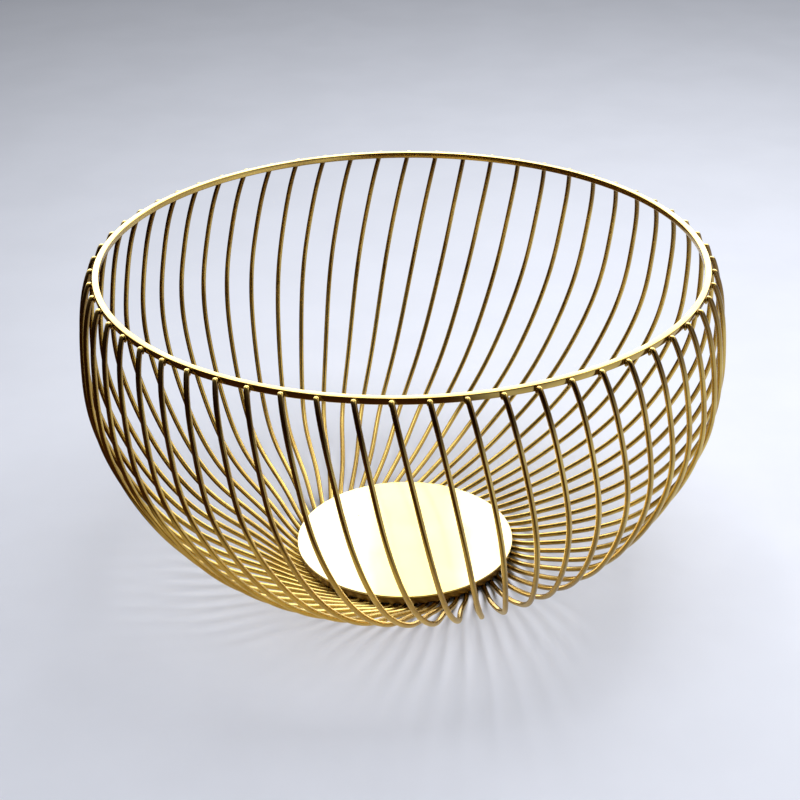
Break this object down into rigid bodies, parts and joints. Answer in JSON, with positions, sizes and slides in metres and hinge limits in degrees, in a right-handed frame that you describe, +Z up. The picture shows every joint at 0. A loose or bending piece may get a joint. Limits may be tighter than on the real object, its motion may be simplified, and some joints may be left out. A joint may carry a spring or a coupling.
{
  "type": "wire produce basket",
  "caption": "Open round fruit and vegetable bowl of swirled, gold-plated wire ribs welded to a rim ring, curving in to a small flat pale-gold base plate.",
  "frame": {"origin": "centre of the basket on the plane of the table it stands on, at the bottom of its bounding box", "axes": "+Z up along the basket's axis, from the base plate to the open rim; +X and +Y are level, and the basket looks the same after every sixth of a turn of 36 degrees"},
  "size_m": [0.2942, 0.2942, 0.1565],
  "materials": {
    "rib_wire": "polished gold-coloured plating on drawn steel wire",
    "ring_bar": "polished gold-coloured plating on square steel bar",
    "base_plate": "brushed pale gold plating on sheet steel"
  },
  "bodies": {
    "root": {"rib_pair_01": "rib_wire", "rib_pair_02": "rib_wire", "rib_pair_03": "rib_wire", "rib_pair_04": "rib_wire", "rib_pair_05": "rib_wire", "rib_pair_06": "rib_wire", "rib_pair_07": "rib_wire", "rib_pair_08": "rib_wire", "rib_pair_09": "rib_wire", "rib_pair_10": "rib_wire", "rib_pair_11": "rib_wire", "rib_pair_12": "rib_wire", "rib_pair_13": "rib_wire", "rib_pair_14": "rib_wire", "rib_pair_15": "rib_wire", "rib_pair_16": "rib_wire", "rib_pair_17": "rib_wire", "rib_pair_18": "rib_wire", "rib_pair_19": "rib_wire", "rib_pair_20": "rib_wire", "rib_pair_21": "rib_wire", "rib_pair_22": "rib_wire", "rib_pair_23": "rib_wire", "rib_pair_24": "rib_wire", "rib_pair_25": "rib_wire", "rib_pair_26": "rib_wire", "rib_pair_27": "rib_wire", "rib_pair_28": "rib_wire", "rib_pair_29": "rib_wire", "rib_pair_30": "rib_wire", "rim_ring": "ring_bar", "base_ring": "ring_bar", "base_plate": "base_plate"}
  },
  "joints": []
}
